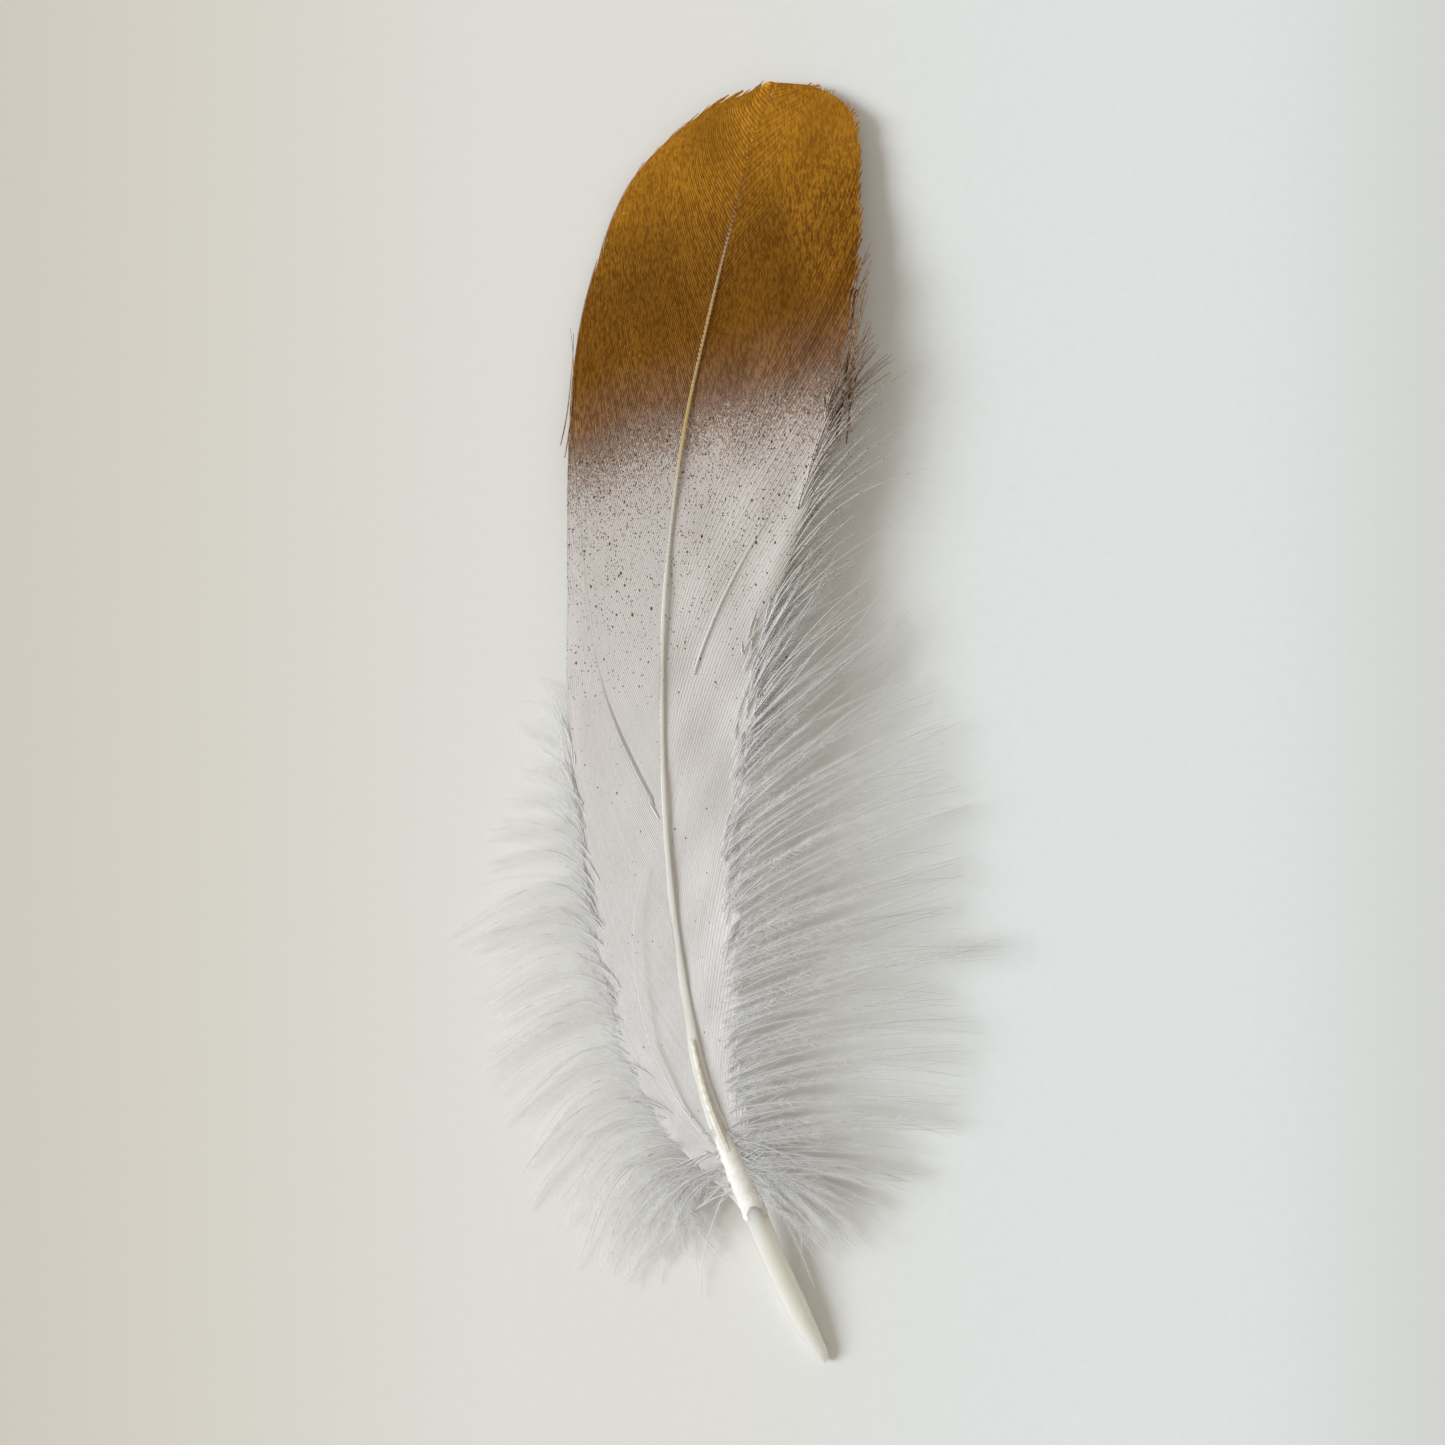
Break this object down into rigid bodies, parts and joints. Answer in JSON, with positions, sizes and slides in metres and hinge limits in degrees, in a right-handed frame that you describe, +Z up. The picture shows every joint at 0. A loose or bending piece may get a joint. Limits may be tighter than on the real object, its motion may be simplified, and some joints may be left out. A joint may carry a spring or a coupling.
{
  "type": "feather quill",
  "caption": "Natural white goose feather with a gilded tip, fluffy down at its base and a bare uncut hollow quill, lying flat with its convex side up; used as a quill or for decoration.",
  "frame": {"origin": "centre of the small flat under the quill's tip, where it touches the table", "axes": "+Y from the quill's tip towards the vane's tip, +Z up from the table through the convex side, +X towards the side with the wide open down"},
  "size_m": [0.0753, 0.1789, 0.0097],
  "materials": {
    "quill_keratin": "translucent glossy horn",
    "shaft_keratin": "ivory white, satin",
    "pith": "dry white foam",
    "membrane": "dry translucent skin",
    "white_vane": "fine matte barbs with a speckle of paint",
    "gilded_vane": "gold paint over fine barbs, soft metallic sheen",
    "down": "loose white fluff"
  },
  "bodies": {
    "root": {"calamus": "quill_keratin", "pulp_cap_1": "membrane", "pulp_cap_2": "membrane", "pulp_cap_3": "membrane", "pulp_cap_4": "membrane", "rachis": "shaft_keratin", "rachis_pith": "pith", "left_vane_base": "white_vane", "left_vane_lower": "white_vane", "left_vane_middle": "white_vane", "right_vane_base": "white_vane", "right_vane_lower": "white_vane", "right_vane_middle": "white_vane", "left_vane_upper": "gilded_vane", "left_vane_tip": "gilded_vane", "right_vane_upper": "gilded_vane", "right_vane_tip": "gilded_vane", "left_down_1": "down", "left_down_2": "down", "left_down_3": "down", "left_down_4": "down", "left_down_5": "down", "left_down_6": "down", "left_down_7": "down", "left_down_8": "down", "left_down_9": "down", "left_down_10": "down", "right_down_1": "down", "right_down_2": "down", "right_down_3": "down", "right_down_4": "down", "right_down_5": "down", "right_down_6": "down", "right_down_7": "down", "right_down_8": "down", "right_down_9": "down", "right_down_10": "down", "right_down_11": "down", "right_down_12": "down", "stray_barb_right_low": "gilded_vane", "stray_barb_right_middle": "gilded_vane", "stray_barb_right_high": "gilded_vane", "stray_barb_left": "white_vane"}
  },
  "joints": []
}
